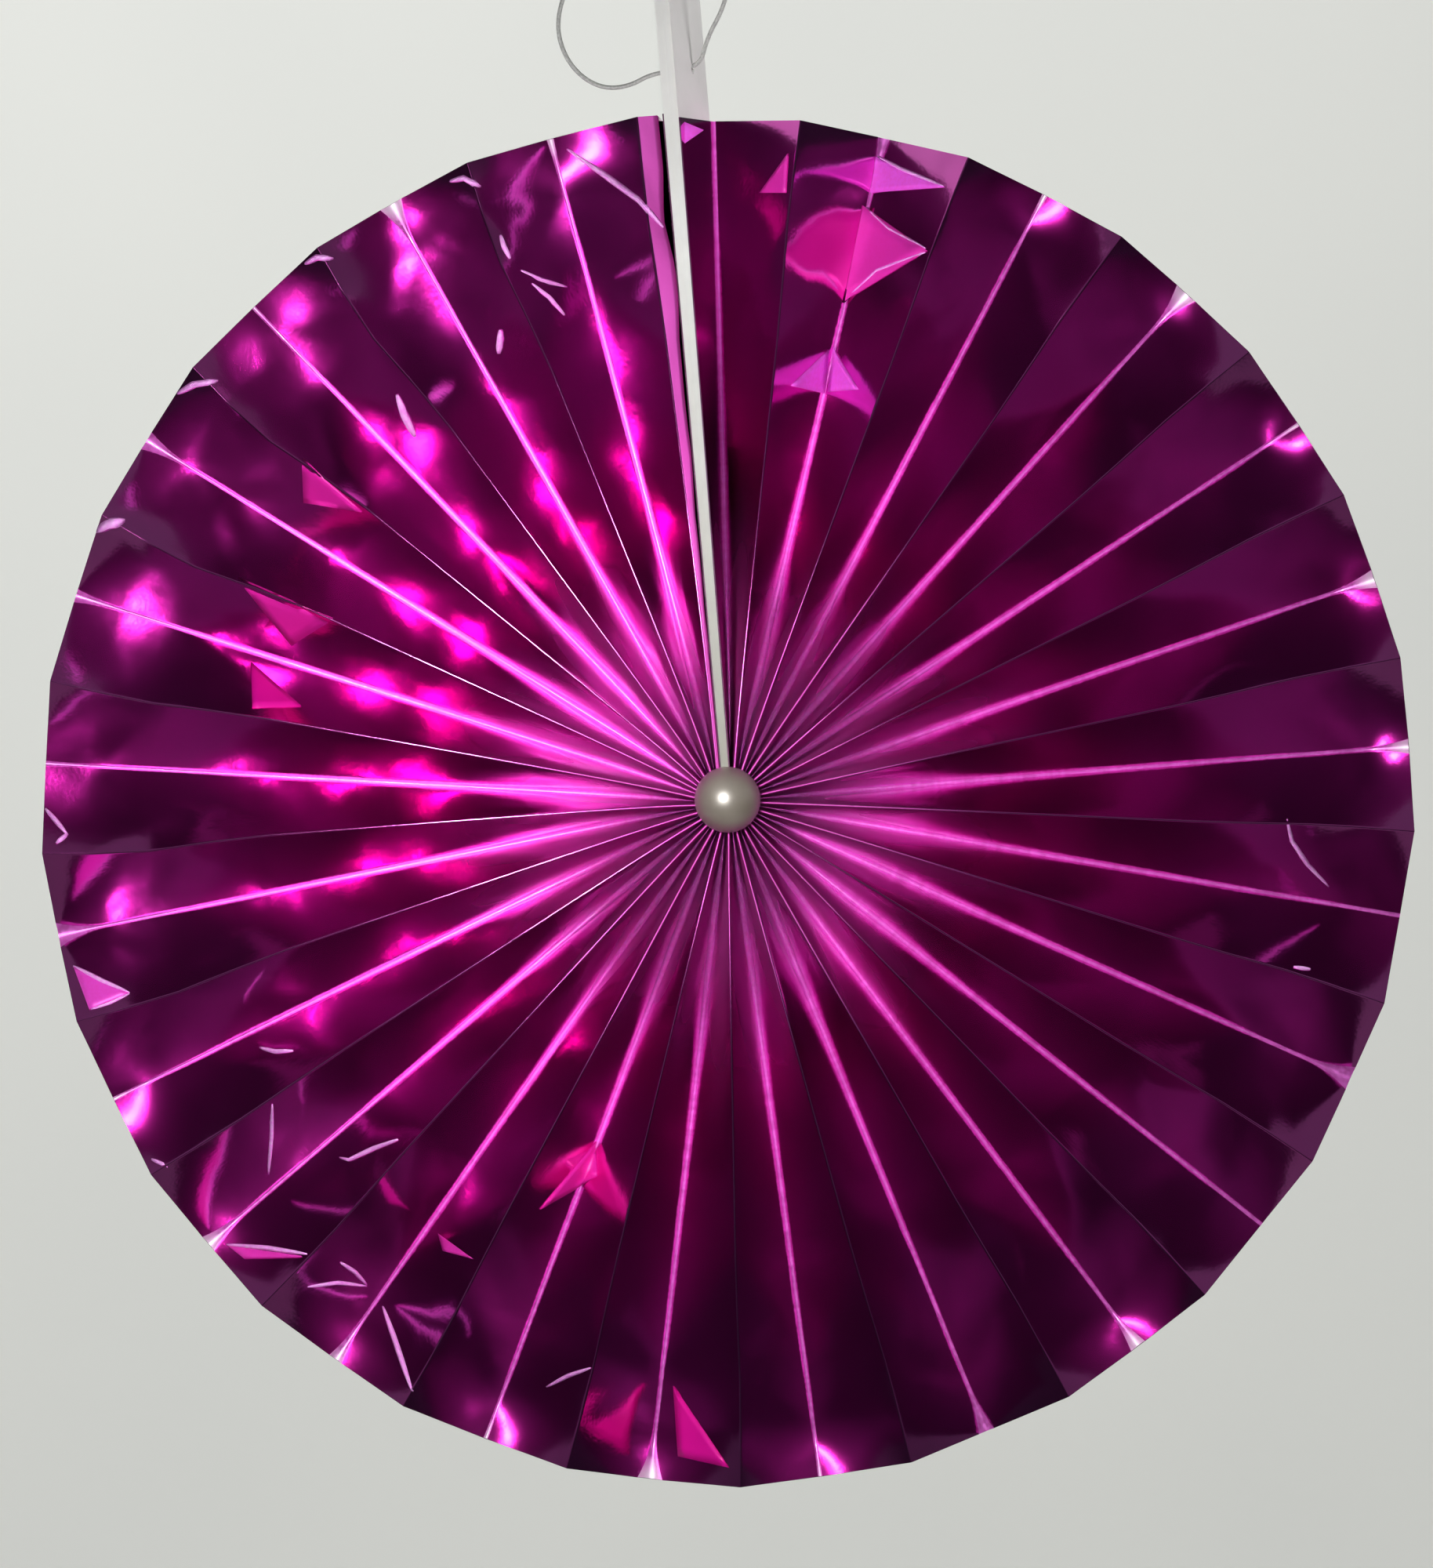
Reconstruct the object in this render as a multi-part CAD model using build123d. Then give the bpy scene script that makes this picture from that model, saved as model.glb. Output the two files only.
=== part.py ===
from build123d import *
from math import asin, cos, degrees, hypot, pi, radians, sin, sqrt
import os

# Paper fan rosette: a strip of metallised paper, pleated, gathered at the middle and
# opened to a full circle. Its two end panels are each glued to a flat strip. The two
# strips stand side by side in the pleats, run past the rim as a tab and take the
# hanging thread. A half pearl is glued over the gathered middle.
#
# While it is modelled, the middle of the rosette is the origin, the strips run up
# along +Z and the front faces -Y, with the ridges' crests at Y = 0. The finished
# pieces are moved so that the middle of the thread's hole is the origin. Millimetres.

# Rosette
rosette_radius = 125.0
centre_hole_radius = 4.0
ridge_count = 25
panel_width = 22.0
sheet_thickness = 0.25
fold_half_width = 0.25

# Where the folds beside the end strips stand, in degrees from the strips at the rim
first_valley_angle = 3.6
last_open_valley_angle = 10.3
last_ridge_angle = 2.8
# and how far they are pushed aside by the strips in the crowded middle
first_valley_crowding = 1.00
last_open_valley_crowding = 1.70
last_ridge_crowding = 1.40

# The rim is drawn in beside the first strip, over this many folds
rim_pull = 1.1
rim_pull_folds = 5
# The strips keep their full depth where the pleats open, so the pleats beside them are
# pushed back or forward, less and less over this many folds
warp_folds = 12

# Shares of the way from the centre hole to the rim. The panels only twist up to the
# last smooth row, and buckle into flat facets from there to the rim.
smooth_rows = (0.0, 0.16, 0.33, 0.5, 0.66)
buckled_rows = (0.75, 0.84, 0.92)
rows = smooth_rows + buckled_rows + (1.0,)
buckle_height = 1.3
# Ridges are pushed in and to one side near the rim, some of them crushed: how far at
# each row from the last smooth one, and how strongly for each ridge
dent_depths = (0.0, 0.8, 2.2, 2.6, 1.6)
dent_shifts = (0.0, 0.6, 1.6, 1.1, 0.0)
plain_dent = 0.25
crushed_ridges = {36: 0.6, 38: 0.7, 40: 0.5, 42: 1.0, 44: 1.0, 46: 1.0, 48: 0.8}
# The folds stand this many degrees off their even spacing, by turns
fold_wander = 0.25

# End strips
strip_width = 20.0
strip_thickness_at_rim = 1.35
strip_thickness_at_middle = 0.65
strip_twist = 16.5
tab_length = 26.0
tab_corner_radius = 3.0

# Hanging thread and its hole
thread_diameter = 0.8
thread_hole_radius = 0.8
thread_hole_above_rim = 8.3
thread_hole_depth = 8.0
knot_radius = 1.3

# Gathering thread, a ring through every panel and both strips
gather_ring_radius = 5.5
gather_thread_diameter = 0.6
gather_hole_clearance = 0.05
# Threads are modelled with this many sides
thread_side_count = 8

# Half pearl
pearl_radius = 6.0
pearl_centre_lift = 1.0
glue_gap = 0.05

half_pitch = (360 - first_valley_angle - last_open_valley_angle) / (2 * (ridge_count - 1))
thread_hole_height = rosette_radius + thread_hole_above_rim
placing = Location((0, -thread_hole_depth, -thread_hole_height))


def strip_share(height):
    """How far up an end strip a height is, from the middle to the rim."""
    return min(1.0, (height - centre_hole_radius) / (rosette_radius - centre_hole_radius))


def strip_thickness(height):
    """Thickness of an end strip, thinner towards the crowded middle."""
    grown = strip_thickness_at_rim - strip_thickness_at_middle
    return strip_thickness_at_middle + strip_share(height) * grown


def strip_axes(height):
    """Directions across and into the first strip, which twists open towards the rim."""
    twist = radians(strip_twist) * strip_share(height)
    across = Vector(cos(twist), -sin(twist), 0)
    inwards = Vector(sin(twist), cos(twist), 0)
    return across, inwards


def crowded(angle, crowding, radius):
    """Angle of a fold beside the strips, at a radius, pushed aside in the middle."""
    sideways = hypot(radius * sin(radians(angle)), crowding)
    return degrees(asin(sideways / radius))


# The sheet is followed clockwise from the first end strip. Fold 1 is the valley behind
# that strip, fold 2 the first ridge, and so on by turns to the last open valley, the
# last ridge and the valley behind the last strip.
last_ridge_fold = 2 * ridge_count
last_open_valley = last_ridge_fold - 1
last_fold = last_ridge_fold + 1


def is_ridge(fold):
    return fold % 2 == 0


def fold_radius(fold, row):
    """Distance from the middle: all folds are as long, but for the pull at the first."""
    pull = rim_pull * max(0.0, 1 - fold / rim_pull_folds)
    return centre_hole_radius + row * (rosette_radius - pull - centre_hole_radius)


def fold_angle(fold, radius):
    """Direction of a fold from the middle, in degrees, with the strips at 90."""
    if fold == last_ridge_fold:
        return 90 - 360 + crowded(last_ridge_angle, last_ridge_crowding, radius)
    first = 90 - crowded(first_valley_angle, first_valley_crowding, radius)
    last = 90 - 360 + crowded(last_open_valley_angle, last_open_valley_crowding, radius)
    share = (fold - 1) / (last_open_valley - 1)
    wander = fold_wander * sin(2.7 * fold) * sin(pi * share) * radius / rosette_radius
    return first + (last - first) * share + wander


def sideways(fold, radius):
    """Distance of a fold to the right of the strips' joint."""
    return radius * cos(radians(fold_angle(fold, radius)))


def pleat_depth(gap):
    """Depth of a panel whose two folds stand this far apart, as it keeps its width."""
    return sqrt(panel_width**2 - gap**2)


def stand_out(radius):
    """How far the strips stand out of the pleats: half of what the glued panel is too
    deep for the opened pleat beside it. The pleat is pushed back by the other half."""
    radius = min(radius, rosette_radius)
    across, inwards = strip_axes(radius)
    valley = across * strip_thickness(radius) + inwards * panel_width
    return (valley.Y - pleat_depth(sideways(2, radius) - valley.X)) / 2


def fold_depth(fold, radius):
    """Depth of a fold behind the crests' plane."""
    behind_first = max(0.0, 1 - (fold - 2) / warp_folds) ** 2
    behind_last = max(0.0, 1 - (last_ridge_fold - fold) / warp_folds) ** 2
    warp = stand_out(radius) * (behind_first - behind_last)
    if is_ridge(fold):
        return warp
    return warp + pleat_depth(2 * radius * sin(radians(half_pitch / 2)))


def dent(fold, row):
    """How far a ridge is pushed back, and towards the fold before it, at one row."""
    if not is_ridge(fold) or row < smooth_rows[-1]:
        return 0.0, 0.0
    strength = crushed_ridges.get(fold, plain_dent)
    step = rows.index(row) - len(smooth_rows) + 1
    return strength * dent_depths[step], strength * dent_shifts[step]


def fold_section(fold, row):
    """The front and back points of one fold at one row, in order along the sheet."""
    radius = fold_radius(fold, row)
    inwards = Vector(0, 1, 0)
    if fold == 1:
        across, inwards = strip_axes(radius)
        face = across * (strip_thickness(radius) + fold_half_width)
        middle = face + inwards * panel_width + Vector(0, -stand_out(radius), radius)
    elif fold == last_fold:
        across = Vector(1, 0, 0)
        x = -strip_thickness(radius) - fold_half_width
        depth = pleat_depth(x - sideways(last_ridge_fold, radius)) - stand_out(radius)
        middle = Vector(x, depth, radius)
    else:
        pushed, shifted = dent(fold, row)
        angle = radians(fold_angle(fold, radius))
        across = Vector(sin(angle), 0, -cos(angle))
        depth = fold_depth(fold, radius) + pushed
        middle = Vector(radius * cos(angle), depth, radius * sin(angle)) - across * shifted
    crest = [middle - across * fold_half_width, middle + across * fold_half_width]
    if is_ridge(fold):
        return crest, [middle + inwards * sheet_thickness]
    return [middle - inwards * sheet_thickness], crest


def first_edge(row):
    """The sheet's first edge, glued to the first strip's face at its front."""
    height = fold_radius(1, row)
    across, inwards = strip_axes(height)
    face = across * strip_thickness(height) + Vector(0, -stand_out(height), height)
    return [face + across * sheet_thickness], [face]


def last_edge(row):
    """The sheet's last edge, glued to the last strip's face at its front."""
    height = fold_radius(last_fold, row)
    face = Vector(-strip_thickness(height), -stand_out(height), height)
    return [face - Vector(sheet_thickness, 0, 0)], [face]


def section(row):
    """Every column of the sheet at one row, as pairs of front and back points."""
    folds = [fold_section(fold, row) for fold in range(1, last_fold + 1)]
    return [first_edge(row), *folds, last_edge(row)]


def buckle(panel, step):
    """Where across a panel a buckle lies, and how high it stands: a rule that repeats
    nowhere round the disc, as no two pleats buckle alike."""
    place = 0.5 + 0.22 * sin(2.4 * panel + 1.9 * step)
    height = buckle_height * sin(1.3 * panel + 2.2 * step) * (1 - 0.25 * step)
    return place, height


def triangle(a, b, c):
    return Face(Wire.make_polygon([a, b, c]))


def patch(a, b, c, d):
    """A twisted four-sided face: a to b is one straight side and d to c the other."""
    return Face.make_surface_from_curves(Edge.make_line(a, b), Edge.make_line(d, c))


def buckled_panel(panel, near, far):
    """Flat facets over the outer part of one panel, between its two fold lines."""
    peaks = []
    for step in range(len(buckled_rows)):
        place, height = buckle(panel, step)
        a, b = near[step + 1], far[step + 1]
        normal = (b - a).cross(near[step + 2] - near[step]).normalized()
        peaks.append(a + (b - a) * place + normal * height)
    faces = [triangle(near[0], far[0], peaks[0])]
    for side in (near, far):
        faces.append(triangle(side[0], side[1], peaks[0]))
        for step in range(len(peaks) - 1):
            faces.append(triangle(side[step + 1], side[step + 2], peaks[step]))
            faces.append(triangle(side[step + 2], peaks[step], peaks[step + 1]))
        faces.append(triangle(side[-2], side[-1], peaks[-1]))
    faces.append(triangle(near[-1], far[-1], peaks[-1]))
    return faces


def sheet_side(columns, which):
    """All faces of one side of the sheet: panels, and the narrow crests of its folds."""
    faces = []
    first_buckled = len(smooth_rows) - 1
    for panel in range(len(columns[0]) - 1):
        near = [row[panel][which][-1] for row in columns]
        far = [row[panel + 1][which][0] for row in columns]
        if panel in (0, last_fold):
            for row in range(len(rows) - 1):
                faces.append(patch(near[row], far[row], far[row + 1], near[row + 1]))
            continue
        for row in range(first_buckled):
            faces.append(triangle(near[row], far[row], far[row + 1]))
            faces.append(triangle(near[row], far[row + 1], near[row + 1]))
        faces += buckled_panel(panel, near[first_buckled:], far[first_buckled:])
    for fold in range(1, last_fold + 1):
        for row in range(len(rows) - 1):
            here, there = columns[row][fold][which], columns[row + 1][fold][which]
            if len(here) == 2:
                faces.append(triangle(here[0], here[1], there[0]))
                faces.append(triangle(here[1], there[1], there[0]))
    return faces


def sheet_edge(row):
    """The thin edge of the sheet at the rim or round the centre hole."""
    faces = []
    for panel in range(len(row) - 1):
        (near_front, near_back), (far_front, far_back) = row[panel], row[panel + 1]
        faces.append(triangle(near_front[-1], far_front[0], near_back[-1]))
        faces.append(triangle(far_front[0], far_back[0], near_back[-1]))
    for front, back in row[1:-1]:
        crest, inner = (front, back) if len(front) == 2 else (back, front)
        faces.append(triangle(crest[0], crest[1], inner[0]))
    return faces


def end_edge(columns, index):
    """The cut end of the sheet, on the face of an end strip."""
    faces = []
    for row in range(len(rows) - 1):
        (front,), (back,) = columns[row][index]
        (next_front,), (next_back,) = columns[row + 1][index]
        faces.append(triangle(front, back, next_front))
        faces.append(triangle(back, next_back, next_front))
    return faces


def gather_ring(diameter):
    """A ring round the middle, half way into the pleats."""
    start = Plane((gather_ring_radius, panel_width / 2, 0), z_dir=(0, 0, 1))
    profile = start * RegularPolygon(diameter / 2, thread_side_count)
    return revolve(profile, Axis.Y)


def make_foil_disc():
    columns = [section(row) for row in rows]
    faces = sheet_side(columns, 0) + sheet_side(columns, 1)
    faces += sheet_edge(columns[0]) + sheet_edge(columns[-1])
    faces += end_edge(columns, 0) + end_edge(columns, -1)
    disc = Solid(Shell(faces))
    holes = gather_ring(gather_thread_diameter + 2 * gather_hole_clearance)
    return disc - holes


def thread_hole():
    """A straight hole through both strips, in the tab above the rim."""
    hole = Rot(0, 90, 0) * Cylinder(thread_hole_radius, 4 * strip_width)
    return Pos(0, thread_hole_depth, thread_hole_height) * hole


def pierced(strip):
    """A strip with its thread hole, its gathering hole and its tab's corners rounded."""
    top = strip.faces().sort_by(Axis.Z)[-1]
    ends = [edge for edge in top.edges() if edge.length < strip_width / 2]
    strip = fillet(ends, tab_corner_radius)
    strip -= thread_hole()
    return strip - gather_ring(gather_thread_diameter + 2 * gather_hole_clearance)


def make_first_strip():
    """The strip on the right, twisted open so that its right face shows at the rim."""
    heights = [fold_radius(1, row) for row in rows]
    heights += [rosette_radius, rosette_radius + tab_length]
    sections = []
    for height in heights:
        across, inwards = strip_axes(height)
        corner = Vector(0, -stand_out(height), height)
        thick = across * strip_thickness(height)
        wide = inwards * strip_width
        corners = [corner, corner + thick, corner + thick + wide, corner + wide]
        sections.append(Wire.make_polygon(corners))
    return pierced(Solid.make_loft(sections, ruled=True))


def make_last_strip():
    """The strip on the left, not twisted, with the last panel on its left face."""
    sections = []
    for height in [fold_radius(last_fold, row) for row in rows] + [rosette_radius + tab_length]:
        thick = -strip_thickness(height)
        front = -stand_out(height)
        back = front + strip_width
        corners = [(0, front), (thick, front), (thick, back), (0, back)]
        sections.append(Wire.make_polygon([(x, y, height) for x, y in corners]))
    return pierced(Solid.make_loft(sections, ruled=True))


def make_pearl():
    """A little more than half a ball, its flat back on the crests and the strips."""
    ball = Pos(0, -pearl_centre_lift, 0) * Sphere(pearl_radius)
    reach = 2 * pearl_radius
    behind = Pos(0, reach / 2 - glue_gap, 0) * Box(2 * reach, reach, 2 * reach)
    return ball - behind


# The hanging thread's route, as read off its loop: across, depth and height from the
# middle of its hole. It leaves the knot on the right, comes down to the hole, runs left
# through both strips and goes round in a slack loop, back up to the knot.
knot_place = Vector(3.0, 0.0, 30.1)
thread_route = [
    Vector(9.2, -0.1, 26.6),
    Vector(12.2, -0.4, 21.5),
    Vector(12.8, -0.5, 15.9),
    Vector(11.0, -0.3, 10.5),
    Vector(7.8, -0.1, 5.7),
    Vector(5.8, 0, 0),
    Vector(-2.6, 0, 0),
    Vector(-7.0, -0.4, -2.1),
    Vector(-11.6, -1.0, -2.3),
    Vector(-15.6, -1.4, 0),
    Vector(-18.4, -1.5, 4.0),
    Vector(-19.5, -1.3, 9.2),
    Vector(-18.2, -1.0, 14.7),
    Vector(-14.8, -0.6, 19.5),
    Vector(-10.0, -0.2, 23.5),
    Vector(-4.4, 0, 27.3),
]
hole_middle = Vector(0, thread_hole_depth, thread_hole_height)
knot_middle = hole_middle + knot_place


def thread_points():
    """The route with both its ends on the knot."""
    start = knot_place + (thread_route[0] - knot_place).normalized() * knot_radius
    end = knot_place + (thread_route[-1] - knot_place).normalized() * knot_radius
    return [hole_middle + place for place in (start, *thread_route, end)]


def bend_radii(points):
    """The largest arc that the two runs beside each corner allow."""
    radii = []
    for before, here, after in zip(points, points[1:], points[2:]):
        turn = (here - before).get_angle(after - here)
        shorter = min((here - before).length, (after - here).length)
        radii.append(0.45 * shorter * cos(radians(turn / 2)) / sin(radians(turn / 2)))
    return radii


def make_hanging_thread():
    points = thread_points()
    radii = bend_radii(points)
    print("thread radii", [round(radius, 1) for radius in radii])
    route = FilletPolyline(*points, radius=radii)
    profile = Plane(route @ 0, z_dir=route % 0) * RegularPolygon(thread_diameter / 2, thread_side_count)
    thread = sweep(profile, path=route)
    expected = profile.area * route.length
    print("thread length", round(route.length, 1), "volume share", round(thread.volume / expected, 4))
    return thread


pieces = {
    "foil_disc": make_foil_disc(),
    "right_strip": make_first_strip(),
    "left_strip": make_last_strip(),
    "pearl_bead": make_pearl(),
    "gather_thread": gather_ring(gather_thread_diameter),
    "hanging_thread": make_hanging_thread(),
    "thread_knot": Pos(knot_middle) * Sphere(knot_radius),
}

os.makedirs("parts", exist_ok=True)
for name, piece in pieces.items():
    export_step(placing * piece, f"parts/{name}.step")
    print(name, piece.is_valid, len(piece.solids()), round(piece.volume, 2))
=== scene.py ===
# %% [markdown]
# # A paper fan rosette in magenta foil
# The real thing is one long strip of metallised film, pleated, gathered at the middle and
# opened to a full circle. Two flat pale strips are glued to its ends, stand side by side in
# the pleats and run past the rim as a tab. A thread hangs it up, and half a pearl hides the
# gathered middle. We start from the imported solids and only dress them.

# %% Load the imported model
import bpy
import numpy as np
from math import asin, cos, degrees, exp, hypot, pi, radians, sin, sqrt
from mathutils import Matrix, Vector
from mathutils.bvhtree import BVHTree


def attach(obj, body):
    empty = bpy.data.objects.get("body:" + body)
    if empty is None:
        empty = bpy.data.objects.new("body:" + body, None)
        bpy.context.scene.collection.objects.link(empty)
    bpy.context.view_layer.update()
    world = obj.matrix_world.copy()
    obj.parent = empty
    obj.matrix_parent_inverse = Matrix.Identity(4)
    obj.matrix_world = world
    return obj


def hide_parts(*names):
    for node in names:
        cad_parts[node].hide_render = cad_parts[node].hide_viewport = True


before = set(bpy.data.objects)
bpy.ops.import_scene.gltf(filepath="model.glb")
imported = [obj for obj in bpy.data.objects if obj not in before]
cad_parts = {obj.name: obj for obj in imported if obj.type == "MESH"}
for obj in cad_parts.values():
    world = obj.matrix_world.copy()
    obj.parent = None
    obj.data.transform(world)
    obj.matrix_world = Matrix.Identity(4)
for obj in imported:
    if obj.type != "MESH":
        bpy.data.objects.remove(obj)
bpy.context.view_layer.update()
print("packed pieces:", sorted(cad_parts))

# %% [markdown]
# ## The rosette's own measures
# Everything below is worked out from the same few lengths that the solids were built from.
# They are in millimetres, with the middle of the rosette as the origin, the strips up +Z
# and the ridges' crests at depth 0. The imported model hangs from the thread's hole instead,
# so `placed` moves a point there and turns it into metres.

# %% Measures shared with the solids
rosette_radius = 125.0
centre_hole_radius = 4.0
ridge_count = 25
panel_width = 22.0
sheet_thickness = 0.25
first_valley_angle = 3.6
last_open_valley_angle = 10.3
last_ridge_angle = 2.8
first_valley_crowding = 1.00
last_open_valley_crowding = 1.70
last_ridge_crowding = 1.40
rim_pull = 1.1
rim_pull_folds = 5
warp_folds = 12
fold_wander = 0.25
strip_thickness_at_rim = 1.35
strip_thickness_at_middle = 0.65
strip_twist = 16.5
thread_hole_depth = 8.0
thread_hole_height = 133.3
thread_diameter = 0.8

half_pitch = (360 - first_valley_angle - last_open_valley_angle) / (2 * (ridge_count - 1))
middle = Vector((0, -thread_hole_depth, -thread_hole_height)) / 1000


def placed(x, y, z):
    """A point of the rosette, in millimetres from its middle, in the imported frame."""
    return middle + Vector((x, y, z)) / 1000


print("half a pleat covers", round(half_pitch, 2), "degrees")

# %% [markdown]
# ## The camera
# The photograph looks at the rosette squarely from the front, and the strips lean a little
# to the left in it, because the camera was tilted. A long lens from a good way off keeps
# the rim as round as it is there.

# %% Camera
photo_width, photo_height = 1828, 2000
photo_middle = (928, 1020)
mm_for_a_pixel = 0.14245
camera_tilt = radians(4.7)
camera_distance = 1.9
sensor_width = 36

right = Vector((cos(camera_tilt), 0, -sin(camera_tilt)))
up = Vector((sin(camera_tilt), 0, cos(camera_tilt)))
aside = (photo_width / 2 - photo_middle[0]) * mm_for_a_pixel / 1000
above = (photo_middle[1] - photo_height / 2) * mm_for_a_pixel / 1000
aim = middle + right * aside + up * above
camera_data = bpy.data.cameras.new("camera")
camera_data.sensor_width = sensor_width
camera_data.lens = sensor_width * camera_distance / (photo_height * mm_for_a_pixel / 1000)
camera = bpy.data.objects.new("camera", camera_data)
bpy.context.scene.collection.objects.link(camera)
turned = Matrix((right, up, Vector((0, -1, 0)))).transposed().to_4x4()
camera.matrix_world = Matrix.Translation(aim - Vector((0, camera_distance, 0))) @ turned
bpy.context.scene.camera = camera
print("lens", round(camera_data.lens), "mm")

# %% [markdown]
# ## A helper for finishes
# Every finish starts as a Principled material. Constant values go straight on its sockets,
# and only what changes over the surface is wired up.

# %% Finish helpers
def finish_named(name, colour, roughness, metallic=0.0):
    """A new material with a Principled shader, and the shader and node tree to add to."""
    material = bpy.data.materials.new(name)
    material.use_nodes = True
    tree = material.node_tree
    shader = tree.nodes["Principled BSDF"]
    shader.inputs["Base Color"].default_value = (*colour, 1)
    shader.inputs["Roughness"].default_value = roughness
    shader.inputs["Metallic"].default_value = metallic
    return material, tree, shader


def add_node(tree, kind, settings=(), **values):
    """A node with its settings and its inputs' values."""
    node = tree.nodes.new(kind)
    for name, value in dict(settings).items():
        setattr(node, name, value)
    for name, value in values.items():
        node.inputs[name.replace("_", " ")].default_value = value
    return node


def own_coordinates(tree):
    """The surface's own coordinates, in metres."""
    return add_node(tree, "ShaderNodeTexCoord").outputs["Object"]


def noise(tree, scale, detail=3.0, stretch=None):
    """Noise in the surface's own coordinates, as a value near 0.5."""
    place = own_coordinates(tree)
    if stretch is not None:
        mapping = add_node(tree, "ShaderNodeMapping", Scale=stretch)
        tree.links.new(place, mapping.inputs["Vector"])
        place = mapping.outputs["Vector"]
    node = add_node(tree, "ShaderNodeTexNoise", Scale=scale, Detail=detail)
    tree.links.new(place, node.inputs["Vector"])
    return node.outputs["Fac"]


def remap(tree, value, low, high, new_low, new_high):
    """A value from low to high, spread over another range."""
    node = add_node(tree, "ShaderNodeMapRange")
    limits = {"From Min": low, "From Max": high, "To Min": new_low, "To Max": new_high}
    for name, number in limits.items():
        node.inputs[name].default_value = number
    tree.links.new(value, node.inputs["Value"])
    return node.outputs["Result"]


def mixed(tree, share, first, second):
    """Two colours mixed by a share that changes over the surface."""
    node = add_node(tree, "ShaderNodeMix", {"data_type": "RGBA"})
    tree.links.new(share, node.inputs[0])
    for socket, colour in ((node.inputs[6], first), (node.inputs[7], second)):
        if isinstance(colour, tuple):
            socket.default_value = (*colour, 1)
        else:
            tree.links.new(colour, socket)
    return node.outputs[2]


def bumped(tree, shader, height, strength, distance):
    """The shader's normal, pushed by a height in metres times distance. Bumps add up."""
    node = add_node(tree, "ShaderNodeBump", Strength=strength, Distance=distance)
    tree.links.new(height, node.inputs["Height"])
    before = shader.inputs["Normal"].links
    if before:
        tree.links.new(before[0].from_socket, node.inputs["Normal"])
    tree.links.new(node.outputs["Normal"], shader.inputs["Normal"])


def dress(piece, material):
    """Gives a piece one material all over."""
    piece.data.materials.clear()
    piece.data.materials.append(material)


print("materials of the packed model:", len(bpy.data.materials))

# %% [markdown]
# ## The hanging thread
# A fine grey thread goes through the hole in both strips and comes back to its knot in a
# slack loop, as wide as the photograph shows. It is one soft curve through the same points
# as the solid. Its thickness is given to the points, because Blender adds their radius to
# the curve's box, and a radius of 1 would make that box two metres wide.

# %% Thread
thread_start = placed(4.131, 7.982, 162.763)
thread_points = [
    thread_start,
    placed(9.2, 7.9, 159.9),
    placed(12.2, 7.6, 154.8),
    placed(12.8, 7.5, 149.2),
    placed(11.0, 7.7, 143.8),
    placed(7.8, 7.9, 139.0),
    placed(5.8, 8.0, 133.3),
    placed(-2.6, 8.0, 133.3),
    placed(-7.0, 7.6, 131.2),
    placed(-11.6, 7.0, 131.0),
    placed(-15.6, 6.6, 133.3),
    placed(-18.4, 6.5, 137.3),
    placed(-19.5, 6.7, 142.5),
    placed(-18.2, 7.0, 148.0),
    placed(-14.8, 7.4, 152.8),
    placed(-10.0, 7.8, 156.8),
    placed(-4.4, 8.0, 160.6),
    placed(1.835, 8.0, 162.960),
]
thread_curve = bpy.data.curves.new("loop_of_thread", "CURVE")
thread_curve.dimensions = "3D"
thread_curve.bevel_depth = 1.0
thread_curve.bevel_resolution = 3
thread_curve.resolution_u = 12
run = thread_curve.splines.new("NURBS")
run.points.add(len(thread_points) - 1)
for point, place in zip(run.points, thread_points):
    point.co = (*place, 1)
    point.radius = thread_diameter / 2000
run.order_u = 3
run.use_endpoint_u = True
loop_of_thread = bpy.data.objects.new("loop_of_thread", thread_curve)
bpy.context.scene.collection.objects.link(loop_of_thread)
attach(loop_of_thread, "root")
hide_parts("hanging_thread")
print("the thread has", len(thread_points), "points")

# %% [markdown]
# ## The studio
# The photograph was taken with a small flash, against a pale wall, in a room that is dark
# towards the camera. Foil shows the room it hangs in, so the world is a dim ceiling over a
# nearly dark lower half: panels that face up are a lighter plum than the ones that face down.
#
# The flash is a small bright lamp close in front of the rosette, a little up and to the left,
# and it alone makes the glare. One big lamp could light everything, but foil would show it
# as a bright sheet. So the other lamps are weak, and hidden from reflections: one near the
# lens reaches into the rubbed folds and lights the pale pieces, and two at the sides and one
# behind fill in what they face. The wall has a lamp of its own, with a narrow enough beam to
# miss the foil.

# %% World
world = bpy.data.worlds.new("room")
bpy.context.scene.world = world
world.use_nodes = True
world_tree = world.node_tree
room = world_tree.nodes["Background"]
room_direction = add_node(world_tree, "ShaderNodeTexCoord").outputs["Generated"]
room_split = add_node(world_tree, "ShaderNodeSeparateXYZ")
world_tree.links.new(room_direction, room_split.inputs[0])
room_height = remap(world_tree, room_split.outputs["Z"], -0.12, 0.5, 0, 1)
room_colour = mixed(world_tree, room_height, (0.014, 0.015, 0.016), (0.10, 0.105, 0.105))
world_tree.links.new(room_colour, room.inputs["Color"])
room.inputs["Strength"].default_value = 1.0
print("world:", world.name)

# %% Wall and floor
floor_height = -1.6
wall_distance = 3.4
stage_width = 2.6


def stage_sheet(name, corners, material):
    """One flat sheet of the stage."""
    mesh = bpy.data.meshes.new(name)
    mesh.from_pydata(corners, [], [(0, 1, 2, 3)])
    sheet = bpy.data.objects.new(name, mesh)
    bpy.context.scene.collection.objects.link(sheet)
    dress(sheet, material)


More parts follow.
